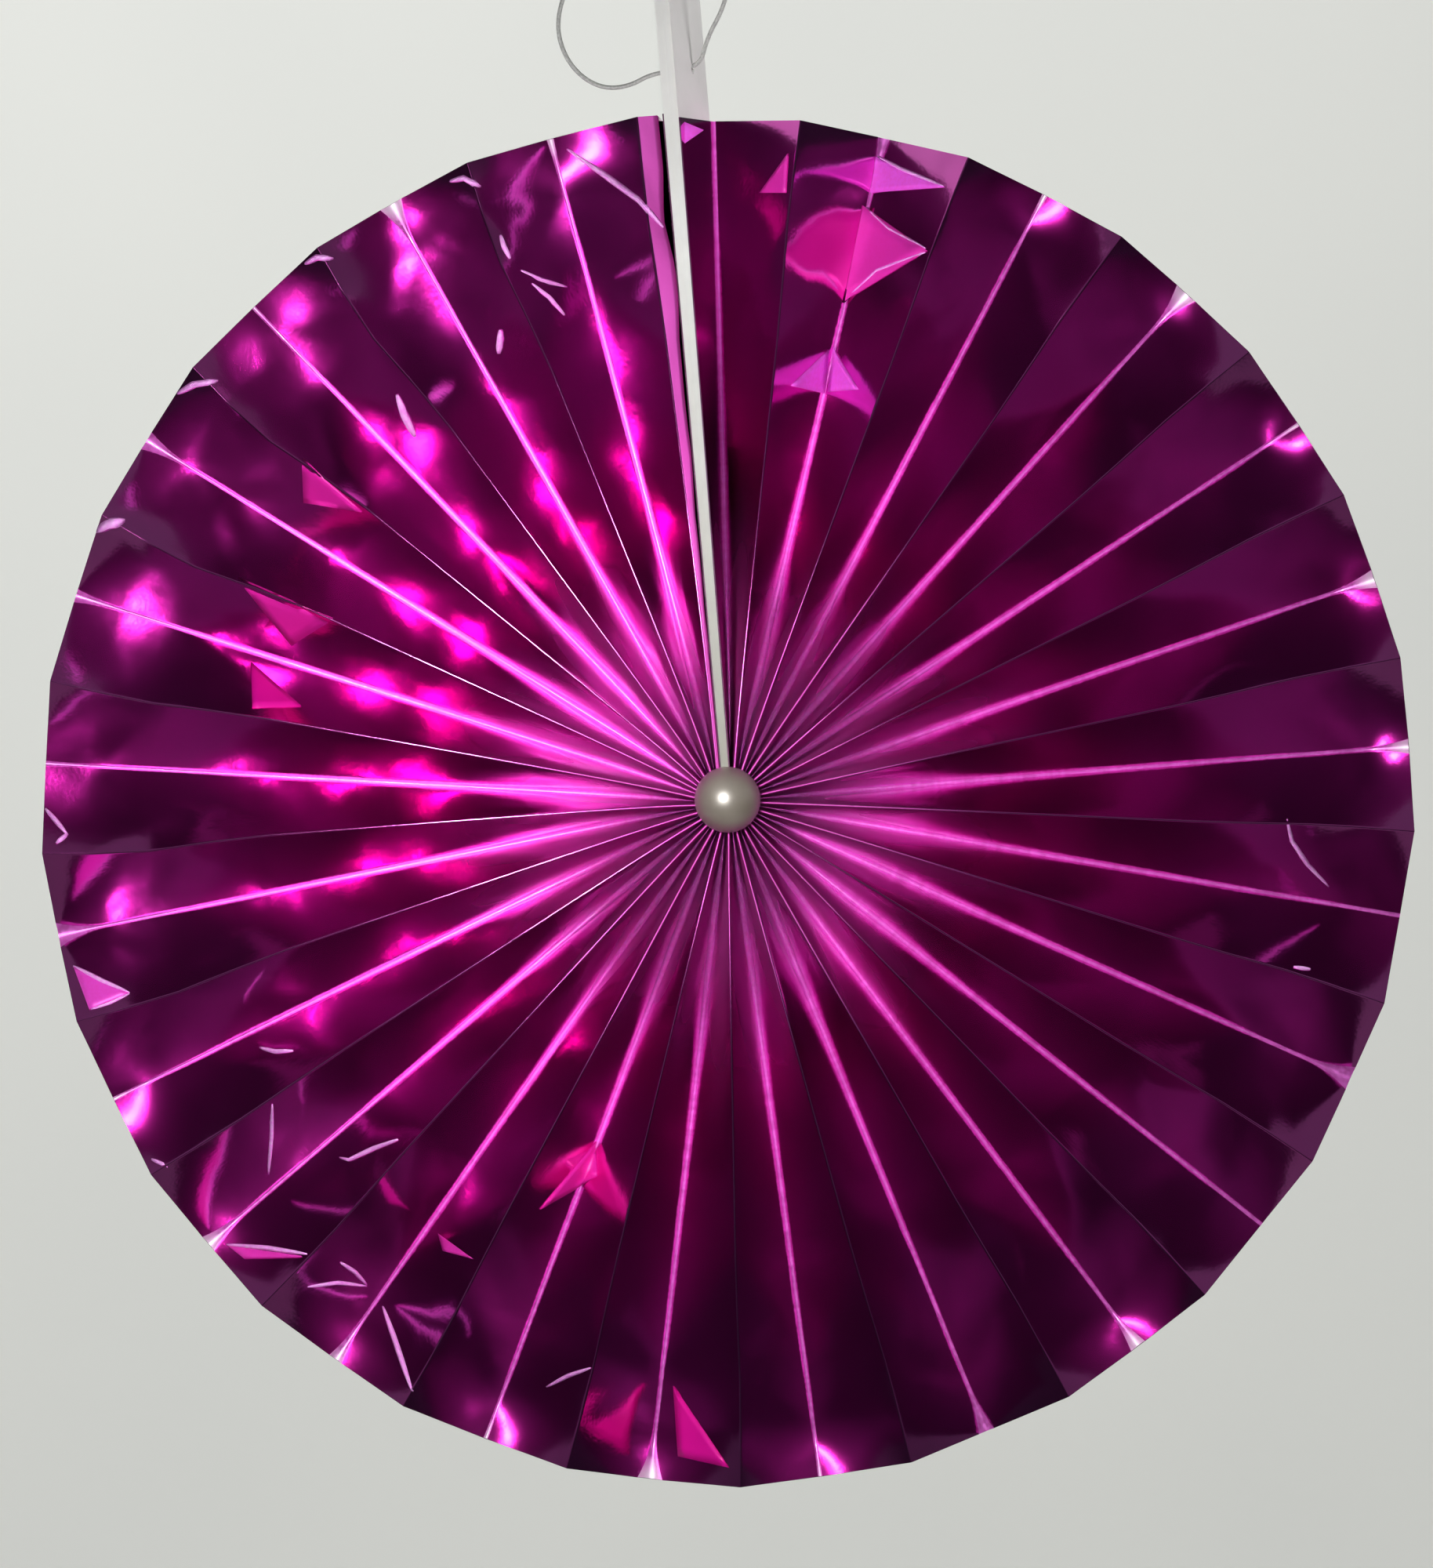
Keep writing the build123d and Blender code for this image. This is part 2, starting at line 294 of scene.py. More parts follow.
paint, paint_tree, paint_shader = finish_named("pale_wall_paint", (0.66, 0.665, 0.63), 0.85)
plaster = noise(paint_tree, 2.2, 2.0)
patches = remap(paint_tree, plaster, 0.3, 0.7, 0, 1)
paint_tree.links.new(
    mixed(paint_tree, patches, (0.64, 0.648, 0.62), (0.68, 0.685, 0.65)),
    paint_shader.inputs["Base Color"],
)
half = stage_width / 2
low_left, low_right = (-half, wall_distance, floor_height), (half, wall_distance, floor_height)
high_left, high_right = (-half, wall_distance, half), (half, wall_distance, half)
near_left, near_right = (-half, -half, floor_height), (half, -half, floor_height)
stage_sheet("wall", [low_left, low_right, high_right, high_left], paint)
stage_sheet("floor", [near_left, near_right, low_right, low_left], paint)
print("the wall is", wall_distance, "m behind")


# %% Lamps
def lamp(name, place, aim_at, width, share, beam=180):
    """A soft lamp that gives a white surface at its aim this share of full white."""
    data = bpy.data.lights.new(name, "AREA")
    data.shape = "DISK"
    data.size = width
    data.spread = radians(beam)
    away = (Vector(aim_at) - Vector(place)).length
    data.energy = share * pi * pi * away * away
    holder = bpy.data.objects.new(name, data)
    bpy.context.scene.collection.objects.link(holder)
    holder.location = place
    holder.rotation_euler = (Vector(aim_at) - Vector(place)).to_track_quat("-Z", "Y").to_euler()
    return holder


flash_place = (-48.0, -200.0, 28.0)
flash = lamp("flash", placed(*flash_place), middle, 0.03, 0.8)
flash.visible_camera = False
lens_lamp = lamp("lamp_by_the_lens", placed(0, -1200, 0), middle, 0.1, 0.0225, beam=40)
lens_lamp.visible_camera = False
lens_lamp.visible_glossy = False
wall_lamp = lamp("wall_lamp", (-1.1, 0.6, 3.0), (0.05, 3.4, -0.15), 1.6, 0.22, beam=70)
for side, share in (("right", 0.075), ("left", 0.03)):
    x = 1.6 if side == "right" else -1.6
    side_lamp = lamp(f"{side}_lamp", (x, 0.25, 0.25), (0, 0, -0.08), 0.8, share, beam=60)
    side_lamp.visible_glossy = False
back_lamp = lamp("back_lamp", (0.9, 1.7, 0.6), (0, 0, -0.1), 1.0, 0.06, beam=60)
back_lamp.visible_camera = False
back_lamp.visible_glossy = False
print("flash", round(flash.data.energy, 2), "W, wall lamp", round(wall_lamp.data.energy, 1), "W")

# %% [markdown]
# ## The pleated sheet
# This is what the rosette is: flat panels of thin film between sharp folds, ridges in front
# and valleys behind. It could be one subdivided plane with a bend on it, but the folds have
# to stay straight and crisp while the panels buckle between them, so each row of points is
# worked out along the sheet: a small round crest at every fold, and a plain run of points
# over every panel, lifted by that panel's own buckles.

# %% Folds of the sheet
last_ridge_fold = 2 * ridge_count
last_open_valley = last_ridge_fold - 1
last_fold = last_ridge_fold + 1


def is_ridge(fold):
    return fold % 2 == 0


def fold_radius(fold, row):
    """Distance from the middle: all folds are as long, but for the pull at the first."""
    pull = rim_pull * max(0.0, 1 - fold / rim_pull_folds)
    return centre_hole_radius + row * (rosette_radius - pull - centre_hole_radius)


def crowded(angle, crowding, radius):
    """Angle of a fold beside the strips, pushed aside in the middle."""
    return degrees(asin(hypot(radius * sin(radians(angle)), crowding) / radius))


def fold_angle(fold, radius):
    """Direction of a fold from the middle, in degrees, with the strips at 90."""
    if fold == last_ridge_fold:
        return 90 - 360 + crowded(last_ridge_angle, last_ridge_crowding, radius)
    first = 90 - crowded(first_valley_angle, first_valley_crowding, radius)
    last = 90 - 360 + crowded(last_open_valley_angle, last_open_valley_crowding, radius)
    share = (fold - 1) / (last_open_valley - 1)
    wander = fold_wander * sin(2.7 * fold) * sin(pi * share) * radius / rosette_radius
    return first + (last - first) * share + wander


def sideways(fold, radius):
    return radius * cos(radians(fold_angle(fold, radius)))


def strip_share(height):
    """How far up an end strip a height is, from the middle to the rim."""
    return min(1.0, (height - centre_hole_radius) / (rosette_radius - centre_hole_radius))


def strip_thickness(height):
    grown = strip_thickness_at_rim - strip_thickness_at_middle
    return strip_thickness_at_middle + strip_share(height) * grown


def strip_axes(height):
    """Directions across and into the first strip, which twists open towards the rim."""
    twist = radians(strip_twist) * strip_share(height)
    return np.array((cos(twist), -sin(twist), 0)), np.array((sin(twist), cos(twist), 0))


def pleat_depth(gap):
    """Depth of a panel whose two folds stand this far apart, as it keeps its width."""
    return sqrt(panel_width**2 - gap**2)


def stand_out(radius):
    """How far the strips stand out of the pleats beside them."""
    radius = min(radius, rosette_radius)
    across, inwards = strip_axes(radius)
    valley = across * strip_thickness(radius) + inwards * panel_width
    return (valley[1] - pleat_depth(sideways(2, radius) - valley[0])) / 2


def fold_depth(fold, radius):
    """Depth of a fold behind the crests' plane."""
    behind_first = max(0.0, 1 - (fold - 2) / warp_folds) ** 2
    behind_last = max(0.0, 1 - (last_ridge_fold - fold) / warp_folds) ** 2
    warp = stand_out(radius) * (behind_first - behind_last)
    if is_ridge(fold):
        return warp
    return warp + pleat_depth(2 * radius * sin(radians(half_pitch / 2)))


print("folds:", last_fold)

# %% [markdown]
# ### Dents
# The ridges stand out in front, so they take the knocks. Near the rim each one is pushed in
# a little, and seven on the left and upper left are crushed over to one side, which makes
# the dark kites there. The rows and depths are the solid's.

# %% Dents in the ridges
dent_rows = (0.0, 0.66, 0.75, 0.84, 0.92, 1.0)
dent_depths = (0.0, 0.0, 0.8, 2.2, 2.6, 1.6)
dent_shifts = (0.0, 0.0, 0.6, 1.6, 1.1, 0.0)
plain_dent = 0.25
crushed_ridges = {36: 0.6, 38: 0.7, 40: 0.5, 42: 1.0, 44: 1.0, 46: 1.0, 48: 0.8}


def dent(fold, row):
    """How far a ridge is pushed back, and towards the fold before it, at one row."""
    if not is_ridge(fold):
        return 0.0, 0.0
    strength = crushed_ridges.get(fold, plain_dent)
    return [strength * np.interp(row, dent_rows, values) for values in (dent_depths, dent_shifts)]


print("crushed ridges:", len(crushed_ridges))

# %% [markdown]
# ### Crests
# A fold in film isn't a knife edge. Its crest is a small arc. The valleys' are as wide as
# the bright lines in the photograph, and wider still near the gather, and the ridges' are
# thin. At some valleys the fold is only pressed lightly at the rim, so that it
# opens to a soft hollow there. Some tips also curl forward, just enough to send the flash
# back to the lens, and their film is painted nearly white in the finish: those make the
# white glints round the rim, partly mirrored flash and partly painted highlight.

# %% Crest of one fold
crest_points = 5
valley_half_width = 0.36
ridge_half_width = 0.08
half_width_at_middle = 0.08
first_valley_half_width = 0.30
first_valley_full_from = 20
full_width_after = 14
wider_by_the_gather = 0.34
widest_radius, widening_spread = 24, 15
tip_length = 9.0
mean_tip_half_width, tip_half_width_swing = 1.2, 1.1


def tip_half_width(fold):
    """How far a valley opens at the rim."""
    if is_ridge(fold):
        return 0.0
    return mean_tip_half_width + tip_half_width_swing * sin(1.9 * fold + 0.6)


def crest_width(fold, radius):
    """Half the width of a fold's crest, along the middle of the sheet's thickness."""
    grown = min(1.0, (radius - centre_hole_radius) / full_width_after)
    full = ridge_half_width if is_ridge(fold) else valley_half_width
    width = half_width_at_middle + grown * (full - half_width_at_middle)
    if not is_ridge(fold):
        width += wider_by_the_gather * exp(-(((radius - widest_radius) / widening_spread) ** 2))
    near_rim = max(0.0, 1 - (rosette_radius - radius) / tip_length)
    return width + near_rim**2 * max(0.0, tip_half_width(fold) - width)


# How fully the tip of each of these folds glints
glinting_tips = {
    5: 0.9, 7: 1.0, 9: 1.0, 11: 1.0, 13: 1.0, 21: 1.0, 25: 0.8, 27: 1.0,
    29: 0.95, 31: 0.8, 33: 0.9, 35: 0.85, 45: 0.7, 47: 1.0, 49: 1.0,
}
curl_length = 8.5


def tip_lift(fold, radius):
    """How far a valley's tip curls forward: enough to mirror the flash, where it glints."""
    if fold not in glinting_tips:
        return 0.0
    angle = radians(fold_angle(fold, rosette_radius))
    towards_flash = flash_place[0] * cos(angle) + flash_place[2] * sin(angle)
    slope = glinting_tips[fold] * (rosette_radius - towards_flash) / (-2 * flash_place[1])
    along = max(0.0, 1 - (rosette_radius - radius) / curl_length)
    return slope * curl_length * (along**2 if along < 0.5 else along - 0.25)


def crest(fold, row):
    """The points over one fold at one row, in order along the sheet."""
    radius = fold_radius(fold, row)
    half_sheet = sheet_thickness / 2
    inwards = np.array((0.0, 1.0, 0.0))
    proud = np.array((0.0, -stand_out(radius), radius))
    lean, width = 0.0, half_sheet
    if fold == 1:
        across, inwards = strip_axes(radius)
        width = first_valley_half_width * min(1.0, radius / first_valley_full_from)
        base = across * (strip_thickness(radius) + half_sheet + width) + proud
        base = base + inwards * (panel_width - half_sheet)
    elif fold == last_fold:
        across = np.array((1.0, 0.0, 0.0))
        x = -strip_thickness(radius) - sheet_thickness
        depth = pleat_depth(x - sideways(last_ridge_fold, radius)) - half_sheet
        base = np.array((x, depth, 0.0)) + proud
    else:
        pushed, shifted = dent(fold, row)
        angle = radians(fold_angle(fold, radius))
        across = np.array((sin(angle), 0.0, -cos(angle)))
        lean = asin(2 * radius * sin(radians(half_pitch / 2)) / panel_width)
        depth = fold_depth(fold, radius) + pushed - tip_lift(fold, radius)
        depth += half_sheet if is_ridge(fold) else -half_sheet
        base = np.array((radius * cos(angle), depth, radius * sin(angle))) - across * shifted
        width = crest_width(fold, radius)
    toward = inwards if is_ridge(fold) else -inwards
    bend = width / cos(lean)
    turns = np.linspace(lean - pi / 2, pi / 2 - lean, crest_points)
    return [base + across * bend * sin(t) + toward * bend * (1 - cos(t)) for t in turns]


print("a crest has", crest_points, "points")

# %% [markdown]
# ### Buckles
# Film can't stretch, so a panel that is pushed buckles into flat facets. The big ones in the
# outer third lie where the solid's do, but stand at most 1.0 mm high, against its 1.3 mm.
# Over them lie smaller dents, which break the flash up into patches of glare. The dents are
# weaker on the right half and very weak in the outer third.

# %% Height of a panel's buckles
smooth_edge = 0.66
buckled_rows = (0.75, 0.84, 0.92)
buckle_height = 1.0
small_dents = np.random.default_rng(7)
dents_on_a_panel = 26
nearest_dent, farthest_dent = (1, 18), (21, 118)
dent_lengths = (4, 12)
dent_widths = (1.8, 4.0)
dent_rise = 0.28
first_rough_panel = 27
calm_share = 0.6
calmed_outside = 0.86
calming_starts, calming_takes = 0.52, 0.16


def buckle(panel, step):
    """Where across a panel a buckle lies, and how high it stands."""
    place = 0.5 + 0.22 * sin(2.4 * panel + 1.9 * step)
    height = buckle_height * sin(1.3 * panel + 2.2 * step) * (1 - 0.25 * step)
    return place, height


def facets_of(panel):
    """The panel's flat facets: corners as (across, along, height)."""
    sides = (smooth_edge, *buckled_rows, 1.0)
    peaks = [(buckle(panel, k)[0], row, buckle(panel, k)[1]) for k, row in enumerate(buckled_rows)]
    facets = [((0, sides[0], 0), (1, sides[0], 0), peaks[0]), ((0, 1.0, 0), (1, 1.0, 0), peaks[-1])]
    for edge in (0, 1):
        side = [(edge, row, 0) for row in sides]
        facets.append((side[0], side[1], peaks[0]))
        facets.append((side[-2], side[-1], peaks[-1]))
        for k in range(len(peaks) - 1):
            facets.append((side[k + 1], side[k + 2], peaks[k]))
            facets.append((side[k + 2], peaks[k], peaks[k + 1]))
    return facets


def facet_height(facets, across, along):
    """Height of the faceted panel over a grid of places."""
    height = np.zeros_like(across)
    for a, b, c in facets:
        area = (b[0] - a[0]) * (c[1] - a[1]) - (c[0] - a[0]) * (b[1] - a[1])
        v = ((across - a[0]) * (c[1] - a[1]) - (c[0] - a[0]) * (along - a[1])) / area
        w = ((b[0] - a[0]) * (along - a[1]) - (across - a[0]) * (b[1] - a[1])) / area
        inside = (v >= -1e-9) & (w >= -1e-9) & (v + w <= 1 + 1e-9)
        height[inside] = (a[2] * (1 - v - w) + b[2] * v + c[2] * w)[inside]
    return height


def dents(panel, across, along):
    """Small dents over one panel: soft-edged folds in random directions."""
    height = np.zeros_like(across)
    x, z = across * panel_width, along * rosette_radius
    for _ in range(dents_on_a_panel):
        place = small_dents.uniform(nearest_dent, farthest_dent)
        direction = small_dents.uniform(0, pi)
        length = small_dents.uniform(*dent_lengths)
        width = small_dents.uniform(*dent_widths)
        rise = small_dents.uniform(-dent_rise, dent_rise)
        rise *= calm_share if panel < first_rough_panel else 1.0
        u = (x - place[0]) * cos(direction) + (z - place[1]) * sin(direction)
        v = (z - place[1]) * cos(direction) - (x - place[0]) * sin(direction)
        fade = np.clip(1 - (u / length) ** 2, 0, 1)
        height += rise * fade * np.exp(-np.abs(v) / width)
    edges = np.clip(4 * across * (1 - across), 0, 1) ** 0.5
    calmer_outside = 1 - calmed_outside * np.clip((along - calming_starts) / calming_takes, 0, 1)
    return height * edges * calmer_outside * np.clip((along - 0.05) / 0.15, 0, 1)


print("facets on a panel:", len(facets_of(5)))

# %% [markdown]
# ### Rows and columns of points
# The sheet is a grid: rows run from the gather to the rim, columns follow the strip of film
# from fold to fold. Each column also says how worn, crinkled and glinting its film is, for
# the finish. The last open panel is bowed. It lies across the gap beside the left strip
# first, and then turns back along the strip, which gives the bright band by the seam.

# %% Points of the whole sheet
panel_steps = 11
beside_crest = 0.010
rows = np.concatenate((np.linspace(0, 0.88, 45), np.linspace(0.88, 1, 12)[1:]))
across_panel = np.linspace(beside_crest, 1 - beside_crest, panel_steps - 1)
grid_across, grid_along = np.meshgrid(across_panel, rows)

columns = []
wear = []
crinkle = []
glint = []
crests = {fold: np.array([crest(fold, row) for row in rows]) for fold in range(1, last_fold + 1)}


def glued_edge(row, fold):
    """The sheet's cut ends, on the end strips."""
    height = fold_radius(fold, row)
    proud = np.array((0.0, -stand_out(height), height))
    off_middle = strip_thickness(height) + sheet_thickness / 2
    if fold == 1:
        return strip_axes(height)[0] * off_middle + proud
    return np.array((-off_middle, 0.0, 0.0)) + proud


bowed_columns = 5
knee_across, knee_depth = 0.8, 0.10
first_bowed_column, last_bowed_column = 0.06, 0.97


def bowed_panel(near, far):
    """The last open panel: it lies across the gap first, then turns back along the strip."""
    gap = far[:, 0] - near[:, 0]
    knee = near + np.stack((gap * knee_across, gap * knee_depth, gap * 0), axis=1)
    across_gap = np.linspace(first_bowed_column, 1, bowed_columns)[None, :, None]
    along_strip = np.linspace(0, 1, panel_steps - bowed_columns)[None, 1:, None] * last_bowed_column
    front = near[:, None] * (1 - across_gap) + knee[:, None] * across_gap
    back = knee[:, None] * (1 - along_strip) + far[:, None] * along_strip
    return np.concatenate((front, back), axis=1)


def add_columns(block, worn, crinkled=0.0, glinting=0.0):
    """Adds columns of points, with how worn and crinkled the film is, and how its tip glints."""
    for index in range(block.shape[1]):
        columns.append(block[:, index])
        wear.append(worn)
        crinkle.append(crinkled)
        glint.append(glinting)


first = np.array([glued_edge(row, 1) for row in rows])[:, None]
last = np.array([glued_edge(row, last_fold) for row in rows])[:, None]
add_columns(first, 0.0)
for fold in range(1, last_fold + 2):
    near = columns[-1]
    far = last[:, 0] if fold > last_fold else crests[fold][:, 0]
    share = grid_across[..., None]
    block = near[:, None] * (1 - share) + far[:, None] * share
    panel = fold - 1
    if fold == last_fold:
        block = bowed_panel(near, far)
    if 0 < panel < last_fold:
        outwards = np.gradient(near, axis=0)
        normal = np.cross(far - near, outwards)
        normal /= np.linalg.norm(normal, axis=1)[:, None]
        height = facet_height(facets_of(panel), grid_across, grid_along)
        height += dents(panel, grid_across, grid_along)
        block = block + normal[:, None] * height[..., None]
    if fold == last_fold:
        add_columns(block[:, :bowed_columns], 0.0, 1.0)
        add_columns(block[:, bowed_columns:], 0.0)
    else:
        add_columns(block, 0.0)
    if fold <= last_fold:
        crest_wear = 0.0 if is_ridge(fold) else 1.0
        add_columns(crests[fold], crest_wear, glinting=glinting_tips.get(fold, 0.0))
add_columns(last, 0.0)

sheet_points = np.array(columns).transpose(1, 0, 2)
print("points along and across the sheet:", sheet_points.shape[:2])

# %% Mesh of the sheet
count_along, count_across = sheet_points.shape[:2]
flat_points = sheet_points.reshape(-1, 3) / 1000 + np.array(middle)
index = np.arange(count_along * count_across).reshape(count_along, count_across)
corners_of_quads = [index[:-1, :-1], index[:-1, 1:], index[1:, 1:], index[1:, :-1]]
quads = np.stack(corners_of_quads, axis=-1).reshape(-1, 4)
foil_mesh = bpy.data.meshes.new("pleated_foil")
foil_mesh.from_pydata(flat_points.tolist(), [], quads.tolist())
foil_mesh.shade_smooth()
on_cut_edge = np.zeros(index.shape, bool)
on_cut_edge[[0, -1]] = True
on_cut_edge[:, [0, -1]] = True
on_cut_edge = on_cut_edge.ravel()
ends = np.empty(2 * len(foil_mesh.edges), np.int32)
foil_mesh.edges.foreach_get("vertices", ends)
ends = ends.reshape(-1, 2)
steps = np.abs(ends[:, 0] - ends[:, 1])
neighbours = (steps == 1) | (steps == count_across)
sharp = on_cut_edge[ends[:, 0]] & on_cut_edge[ends[:, 1]] & neighbours
sharp_layer = foil_mesh.attributes.new("sharp_edge", "BOOLEAN", "EDGE")
sharp_layer.data.foreach_set("value", sharp)
wear_layer = foil_mesh.attributes.new("wear_and_painted_highlight", "FLOAT", "POINT")
wear_and_painted_glint = np.tile(np.array(wear), (count_along, 1))
# Painted highlight: glinting tips get wear above 1, which the finish paints nearly white.
near_rim = np.clip(1 - (1 - rows) * rosette_radius / curl_length, 0, 1)[:, None]
wear_and_painted_glint = np.maximum(wear_and_painted_glint, near_rim * np.array(glint)[None, :] * 2)
wear_layer.data.foreach_set("value", wear_and_painted_glint.astype(np.float32).ravel())
gather_reach, gather_fade, gather_crinkle = 0.37, 0.3, 0.8
column = np.arange(count_across)
reach = gather_reach + 0.09 * np.sin(0.37 * column) + 0.05 * np.sin(0.083 * column + 1)
by_the_gather = gather_crinkle * np.clip((reach[None, :] - rows[:, None]) / gather_fade, 0, 1) ** 1.2
crinkles = np.maximum(by_the_gather, np.array(crinkle)[None, :])
crinkle_layer = foil_mesh.attributes.new("crinkle", "FLOAT", "POINT")
crinkle_layer.data.foreach_set("value", crinkles.astype(np.float32).ravel())
pleated_foil = bpy.data.objects.new("pleated_foil", foil_mesh)
bpy.context.scene.collection.objects.link(pleated_foil)
thicken = pleated_foil.modifiers.new("thickness", "SOLIDIFY")
thicken.thickness = sheet_thickness / 1000
thicken.offset = 0
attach(pleated_foil, "root")
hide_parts("foil_disc")
print("quads on one side:", len(quads))

# %% [markdown]
# ### Sharp creases
# Where the film was pinched, it has short sharp creases, and the corners of some ridges are
# curled over at the rim. The creases' pale colour is partly rubbed wear, like the folds, and
# partly painted highlight. They are finer than the sheet's own points, so each is a thin
# little ridge of its own, laid along the film. The camera looks through a place in the
# photograph to find where a crease lies on the film, and there it takes the film's own slope,
# so that it sits on the panel from every side.
#
# The bright facets are patches that shine in the photograph. Each is a thin closed plate,
# which follows the film over a triangle and has the creases' finish, so its bright colour
# is a painted highlight. The bent corner is a small loose triangle of film by the right
# strip, with its left edge sunk into the strip, and its bright pink is painted highlight too.

# %% Creases, by their places in the photograph
crease_paths = {
    "curl_by_fold_48": (8, (575, 231), (592, 227), (612, 238)),
    "curl_by_fold_46": (8, (390, 336), (405, 328), (424, 330)),
    "curl_by_fold_44": (9, (219, 506), (248, 490), (277, 486)),
    "curl_by_fold_42": (13, (119, 680), (138, 669), (158, 664)),
    "chevron_upper_arm": (7, (58, 1032), (70, 1046), (85, 1064)),
    "chevron_lower_arm": (7, (86, 1064), (72, 1076)),
    "corner_fold_top": (8, (94, 1233), (130, 1252), (165, 1267)),
    "corner_fold_low": (5, (165, 1268), (140, 1280), (116, 1288)),
    "dash_by_fold_34": (7, (332, 1337), (352, 1342), (374, 1341)),
    "stroke_by_fold_33": (6, (347, 1408), (346, 1450), (342, 1497)),
    "curl_by_fold_34": (6, (194, 1479), (213, 1488)),
    "hook_by_fold_32": (7, (434, 1477), (446, 1480), (478, 1465), (508, 1454)),
    "long_stroke_low_left": (7, (290, 1588), (340, 1592), (392, 1600)),
    "arrow_upper_arm": (6, (434, 1610), (452, 1622), (467, 1638)),
    "arrow_lower_arm": (6, (467, 1640), (430, 1636), (392, 1641)),
    "stroke_by_fold_31": (8, (489, 1667), (505, 1712), (526, 1774)),
    "stroke_by_fold_29": (6, (698, 1769), (725, 1755), (754, 1745)),
    "curved_crease_right": (7, (1642, 1046), (1648, 1072), (1668, 1102), (1695, 1130)),
    "dash_right": (6, (1650, 1234), (1671, 1237)),
    "diagonal_top_left": (9, (724, 190), (770, 222), (815, 255), (846, 290)),
    "ridge_48_glint": (8, (638, 300), (642, 314), (650, 330)),
    "upper_crease_by_48": (6, (664, 345), (690, 357), (722, 366)),
    "lower_crease_by_48": (7, (678, 362), (700, 380), (719, 402)),
    "pinch_by_48": (10, (639, 421), (637, 450)),
    "pinch_by_46": (11, (507, 503), (516, 528), (530, 556)),
    "facet_edge_top": (6, (1119, 199), (1150, 216), (1204, 238)),
    "facet_edge_mid_top": (5, (1104, 264), (1135, 292), (1181, 317)),
    "facet_edge_mid_low": (6, (1181, 322), (1120, 345), (1078, 384)),
}
# Painted highlights: plates whose pale pink colour stands for the shine of these facets.
painted_highlight_facets = {
    "top_facet": (0.48, (1116, 200), (1206, 239), (1110, 246)),
    "mid_facet": (0.12, (1100, 262), (1183, 320), (1075, 386)),
    "small_facet": (0.12, (1006, 196), (1003, 246), (970, 246)),
    "diamond_right": (0.5, (1062, 442), (1096, 497), (1058, 500)),
    "diamond_left": (0.5, (1056, 446), (1052, 502), (1008, 492)),
    "corner_facet": (0.28, (94, 1234), (165, 1267), (114, 1288)),
    "kite_end_44": (0.05, (386, 586), (462, 652), (388, 640)),
    "kite_end_42": (0.05, (304, 738), (424, 790), (372, 822)),
    "kite_end_40": (0.0, (320, 846), (384, 902), (322, 904)),
    "low_facet_30": (0.05, (760, 1456), (762, 1500), (688, 1542)),
    "low_facet_28": (0.0, (860, 1768), (930, 1872), (866, 1858)),
    "low_left_facet": (0.15, (292, 1590), (396, 1604), (312, 1606)),
    "facet_by_31": (0.15, (560, 1574), (604, 1606), (566, 1596)),
}
film = BVHTree.FromPolygons(flat_points.tolist(), quads.tolist())
film_face = sheet_thickness / 2000
eye = camera.matrix_world.translation


def on_film(pixel):
    """The place on the film behind a place in the photograph, and the film's normal there."""
    shift = right * (pixel[0] - photo_middle[0]) + up * (photo_middle[1] - pixel[1])
    ray = middle + shift * mm_for_a_pixel / 1000 - eye
    place, normal, _, _ = film.ray_cast(eye, ray.normalized())
    if place is not None and normal.dot(ray) > 0:
        normal = -normal
    return place, normal


print("creases:", len(crease_paths), "facets:", len(painted_highlight_facets))

# %% One crease as a small ridge of film
crease_points, crease_faces, crease_wear_and_highlight = [], [], []
crease_widening = 1.3
crease_steepness = 0.9
least_taper = 0.2


def add_crease(width, pixels, worn=0.8, step=5.0):
    """A closed little ridge along a path, pointed at both ends."""
    path = []
    for a, b in zip(pixels, pixels[1:]):
        count = max(2, round(hypot(b[0] - a[0], b[1] - a[1]) / step))
        for k in range(count):
            path.append((a[0] + (b[0] - a[0]) * k / count, a[1] + (b[1] - a[1]) * k / count))
    spots = [on_film(pixel) for pixel in path + [pixels[-1]]]
    spots = [spot for spot in spots if spot[0] is not None]
    half_width = crease_widening * width * mm_for_a_pixel / 2000
    start = len(crease_points)
    for k, (place, normal) in enumerate(spots):
        before, after = spots[max(0, k - 1)][0], spots[min(len(spots) - 1, k + 1)][0]
        side = (after - before).cross(normal).normalized()
        taper = least_taper + (1 - least_taper) * sqrt(sin(pi * (k + 0.3) / (len(spots) - 0.4)))
        reach = half_width * taper
        crest_place = place + normal * (film_face + reach * crease_steepness)
        crease_points.extend([place - side * reach, crest_place, place + side * reach])
        crease_wear_and_highlight.extend([worn] * 3)
    for k in range(len(spots) - 1):
        a = start + 3 * k
        for i in range(3):
            j = (i + 1) % 3
            crease_faces.append((a + i, a + j, a + 3 + j, a + 3 + i))
    last_section = start + 3 * (len(spots) - 1)
    crease_faces.append((start + 2, start + 1, start))
    crease_faces.append((last_section, last_section + 1, last_section + 2))


for width, *pixels in crease_paths.values():
    add_crease(width, pixels)
print("points in the creases:", len(crease_points))


# %% The bent corner beside the strips
bent_corner = ((858, 150), (898, 165), (866, 189))
bent_corner_depths = (-1.9, 2.0, -1.9)
# Painted highlight: the corner is painted bright pink with the creases' finish.
bent_corner_highlight = 0.45
half_corner_thickness = 0.12


